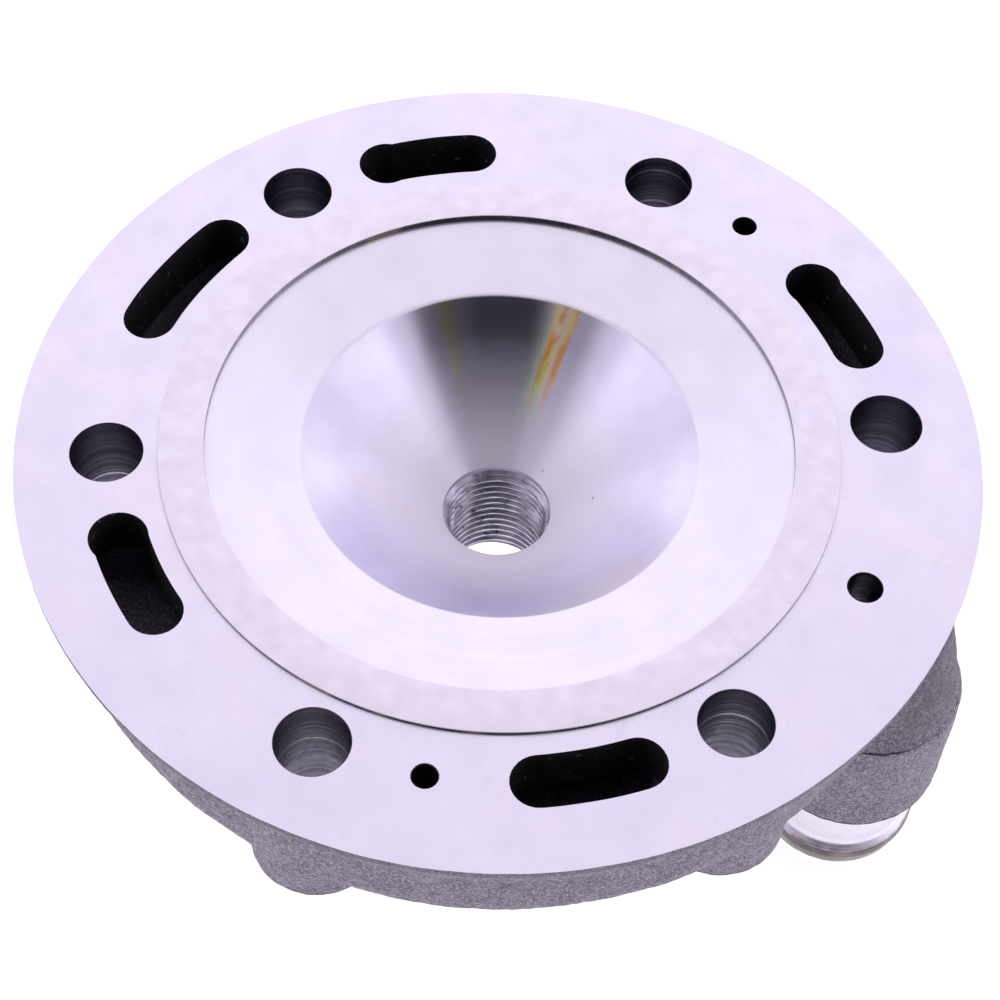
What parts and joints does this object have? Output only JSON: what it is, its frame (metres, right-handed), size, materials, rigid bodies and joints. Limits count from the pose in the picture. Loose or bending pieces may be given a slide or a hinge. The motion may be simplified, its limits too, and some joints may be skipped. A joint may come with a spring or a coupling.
{
  "type": "cylinder head",
  "caption": "Round liquid-cooled two-stroke cylinder head with a conical bowl, plug thread, coolant slots and a hose outlet.",
  "frame": {"origin": "centre of the gasket face, on the bolt circle's axis", "axes": "+Z out of the gasket face, along the plug and bolt axes; +X towards the coolant outlet"},
  "size_m": [0.1238, 0.12, 0.05],
  "materials": {
    "cast_alloy": "fine cast skin, machined gasket face and bowl",
    "thread_insert": "cut thread",
    "turned_alloy": "bright turned",
    "plated_screw": "zinc plated",
    "soft_washer": "soft annealed",
    "pressed_cup": "pressed, plated"
  },
  "bodies": {
    "root": {"head_casting": "cast_alloy", "spark_plug_thread_insert": "thread_insert", "coolant_outlet_spigot": "turned_alloy", "air_bleed_screw": "plated_screw", "air_bleed_washer": "soft_washer", "sensor_port_plug": "plated_screw", "sensor_port_washer": "soft_washer", "core_plugs": "pressed_cup"}
  },
  "joints": []
}
